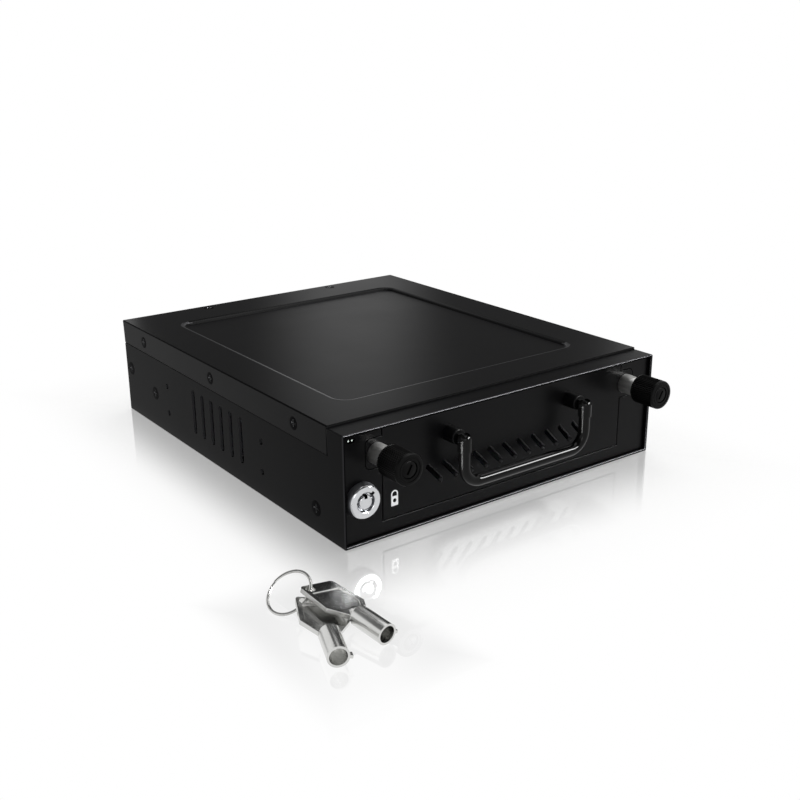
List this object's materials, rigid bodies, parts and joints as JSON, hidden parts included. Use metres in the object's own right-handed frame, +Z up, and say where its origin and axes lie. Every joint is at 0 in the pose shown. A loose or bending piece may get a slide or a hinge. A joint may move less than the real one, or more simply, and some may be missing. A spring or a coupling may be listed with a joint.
{
  "type": "hot swap drive cage",
  "caption": "Black steel drive-bay cage with a slide-out cartridge, drop handle, captive thumbscrews, tubular lock with loose keys, status lamps, backplane and rear fan.",
  "frame": {"origin": "middle of the case's underside", "axes": "+X to the right seen from the front, +Y from the front to the rear, +Z up"},
  "size_m": [0.1882, 0.2333, 0.0414],
  "materials": {
    "case_paint": "satin black powder coat",
    "zinc_sheet": "zinc-plated sheet",
    "black_screw": "black oxide",
    "steel_screw": "zinc-plated",
    "plated_steel": "bright nickel plate",
    "black_knob": "black anodised",
    "black_bail": "glossy black nickel",
    "lock_chrome": "bright chrome plate",
    "key_nickel": "worn nickel plate",
    "board_laminate": "green solder mask",
    "socket_plastic": "moulded black",
    "power_plastic": "moulded natural nylon",
    "strip_plastic": "moulded acetal",
    "lamp_lens": "clear light pipe"
  },
  "bodies": {
    "cage": {"case": "case_paint", "lid": "case_paint", "lid_side_screws": "black_screw", "lid_rear_screws": "black_screw", "case_side_screws": "black_screw", "front_plate": "case_paint", "rear_panel": "case_paint", "thumb_nuts": "plated_steel", "backplane_board": "board_laminate", "backplane_screws": "steel_screw", "drive_socket": "socket_plastic", "data_socket": "socket_plastic", "power_socket": "power_plastic", "power_pins": "plated_steel", "fan_frame": "socket_plastic", "fan_screws": "black_screw", "lock_body": "lock_chrome", "lock_clip": "zinc_sheet", "lamp_holder": "socket_plastic", "lamp_lenses": "lamp_lens", "guide_rail_left": "zinc_sheet", "guide_rail_right": "zinc_sheet", "slide_strip_left": "strip_plastic", "slide_strip_right": "strip_plastic", "key_lower": "key_nickel", "key_upper": "key_nickel", "key_ring": "key_nickel"},
    "cartridge": {"cartridge_front": "case_paint", "tray": "zinc_sheet", "tray_screws": "steel_screw", "handle_post_left": "case_paint", "handle_post_right": "case_paint", "handle_post_screws": "steel_screw", "thumb_sleeve_left": "plated_steel", "thumb_sleeve_right": "plated_steel"},
    "bail": {"bail_rod": "black_bail", "bail_pins": "steel_screw", "bail_knuckle_left": "black_bail", "bail_knuckle_right": "black_bail"},
    "lock_core": {"lock_plug": "lock_chrome", "lock_cam": "zinc_sheet", "lock_cam_screw": "steel_screw"},
    "fan": {"fan_rotor": "socket_plastic"},
    "thumb_slider_left": {"thumb_spring_left": "plated_steel"},
    "thumb_left": {"thumb_knob_left": "black_knob", "thumb_screw_left": "black_knob"},
    "thumb_slider_right": {"thumb_spring_right": "plated_steel"},
    "thumb_right": {"thumb_knob_right": "black_knob", "thumb_screw_right": "black_knob"}
  },
  "joints": [
    {"name": "cartridge_slide", "type": "slide", "parent": "cage", "child": "cartridge", "axis": [0, -1, 0], "range_m": [0, 0.16]},
    {"name": "bail_swing", "type": "hinge", "parent": "cartridge", "child": "bail", "pos_m": [0, -0.0953, 0.0312], "axis": [-1, 0, 0], "range_deg": [0, 90]},
    {"name": "lock_turn", "type": "hinge", "parent": "cage", "child": "lock_core", "pos_m": [-0.0654, -0.0865, 0.0161], "axis": [0, 1, 0], "range_deg": [0, 90]},
    {"name": "fan_spin", "type": "hinge", "parent": "cage", "child": "fan", "pos_m": [0.038, 0.082, 0.0186], "axis": [0, 1, 0], "continuous": true},
    {"name": "thumb_left_slide", "type": "slide", "parent": "cartridge", "child": "thumb_slider_left", "axis": [0, 1, 0], "range_m": [0, 0.0049], "deforming": ["thumb_spring_left"]},
    {"name": "thumb_left_turn", "type": "hinge", "parent": "thumb_slider_left", "child": "thumb_left", "pos_m": [-0.059, -0.1, 0.0312], "axis": [0, 1, 0], "range_deg": [0, 2520]},
    {"name": "thumb_right_slide", "type": "slide", "parent": "cartridge", "child": "thumb_slider_right", "axis": [0, 1, 0], "range_m": [0, 0.0049], "deforming": ["thumb_spring_right"]},
    {"name": "thumb_right_turn", "type": "hinge", "parent": "thumb_slider_right", "child": "thumb_right", "pos_m": [0.059, -0.1, 0.0312], "axis": [0, 1, 0], "range_deg": [0, 2520]}
  ],
  "couplings": [
    {"joint": "thumb_left_slide", "follows": "thumb_left_turn", "m_per_rad": 0.00011141},
    {"joint": "thumb_right_slide", "follows": "thumb_right_turn", "m_per_rad": 0.00011141}
  ]
}
